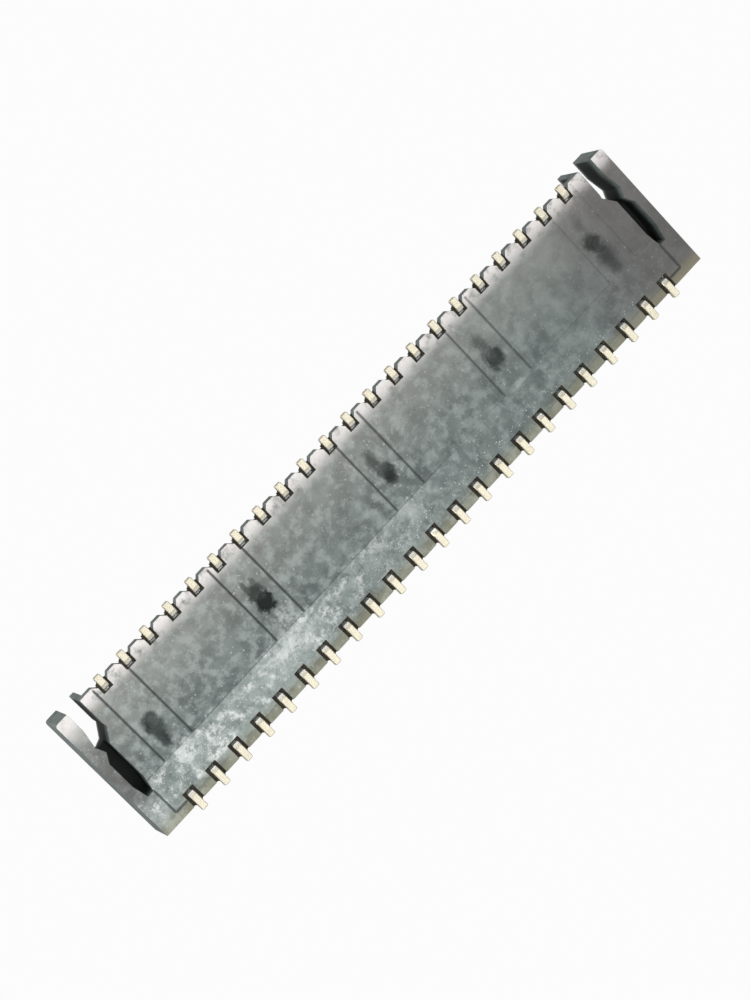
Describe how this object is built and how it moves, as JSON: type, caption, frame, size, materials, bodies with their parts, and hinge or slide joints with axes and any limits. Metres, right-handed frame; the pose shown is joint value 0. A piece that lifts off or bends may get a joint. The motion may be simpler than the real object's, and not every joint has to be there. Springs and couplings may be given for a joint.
{
  "type": "fpc connector",
  "caption": "Low right-angle ZIF connector for a flat flexible cable, surface mounted, with a back-flip actuator and staggered solder tails.",
  "frame": {"origin": "centre of the footprint on the board plane, which touches the solder tails' undersides", "axes": "+X along the row of contacts, -Y towards the side where the cable goes in, +Y towards the actuator's free edge, +Z away from the board"},
  "size_m": [0.0148, 0.0032, 0.001],
  "materials": {
    "housing_plastic": "satin, grey-green liquid crystal polymer",
    "actuator_plastic": "satin, black",
    "gold_plate": "gold plated copper alloy"
  },
  "bodies": {
    "connector": {"housing": "housing_plastic", "front_contact_01": "gold_plate", "front_contact_02": "gold_plate", "front_contact_03": "gold_plate", "front_contact_04": "gold_plate", "front_contact_05": "gold_plate", "front_contact_06": "gold_plate", "front_contact_07": "gold_plate", "front_contact_08": "gold_plate", "front_contact_09": "gold_plate", "front_contact_10": "gold_plate", "front_contact_11": "gold_plate", "front_contact_12": "gold_plate", "front_contact_13": "gold_plate", "front_contact_14": "gold_plate", "front_contact_15": "gold_plate", "front_contact_16": "gold_plate", "front_contact_17": "gold_plate", "front_contact_18": "gold_plate", "front_contact_19": "gold_plate", "front_contact_20": "gold_plate", "front_contact_21": "gold_plate", "front_contact_22": "gold_plate", "front_contact_23": "gold_plate", "rear_contact_01": "gold_plate", "rear_contact_02": "gold_plate", "rear_contact_03": "gold_plate", "rear_contact_04": "gold_plate", "rear_contact_05": "gold_plate", "rear_contact_06": "gold_plate", "rear_contact_07": "gold_plate", "rear_contact_08": "gold_plate", "rear_contact_09": "gold_plate", "rear_contact_10": "gold_plate", "rear_contact_11": "gold_plate", "rear_contact_12": "gold_plate", "rear_contact_13": "gold_plate", "rear_contact_14": "gold_plate", "rear_contact_15": "gold_plate", "rear_contact_16": "gold_plate", "rear_contact_17": "gold_plate", "rear_contact_18": "gold_plate", "rear_contact_19": "gold_plate", "rear_contact_20": "gold_plate", "rear_contact_21": "gold_plate", "rear_contact_22": "gold_plate"},
    "flip_actuator": {"actuator": "actuator_plastic"}
  },
  "joints": [
    {"name": "actuator_flip", "type": "hinge", "parent": "connector", "child": "flip_actuator", "pos_m": [0, 0.00066, 0.00048], "axis": [1, 0, 0], "range_deg": [0, 95]}
  ]
}
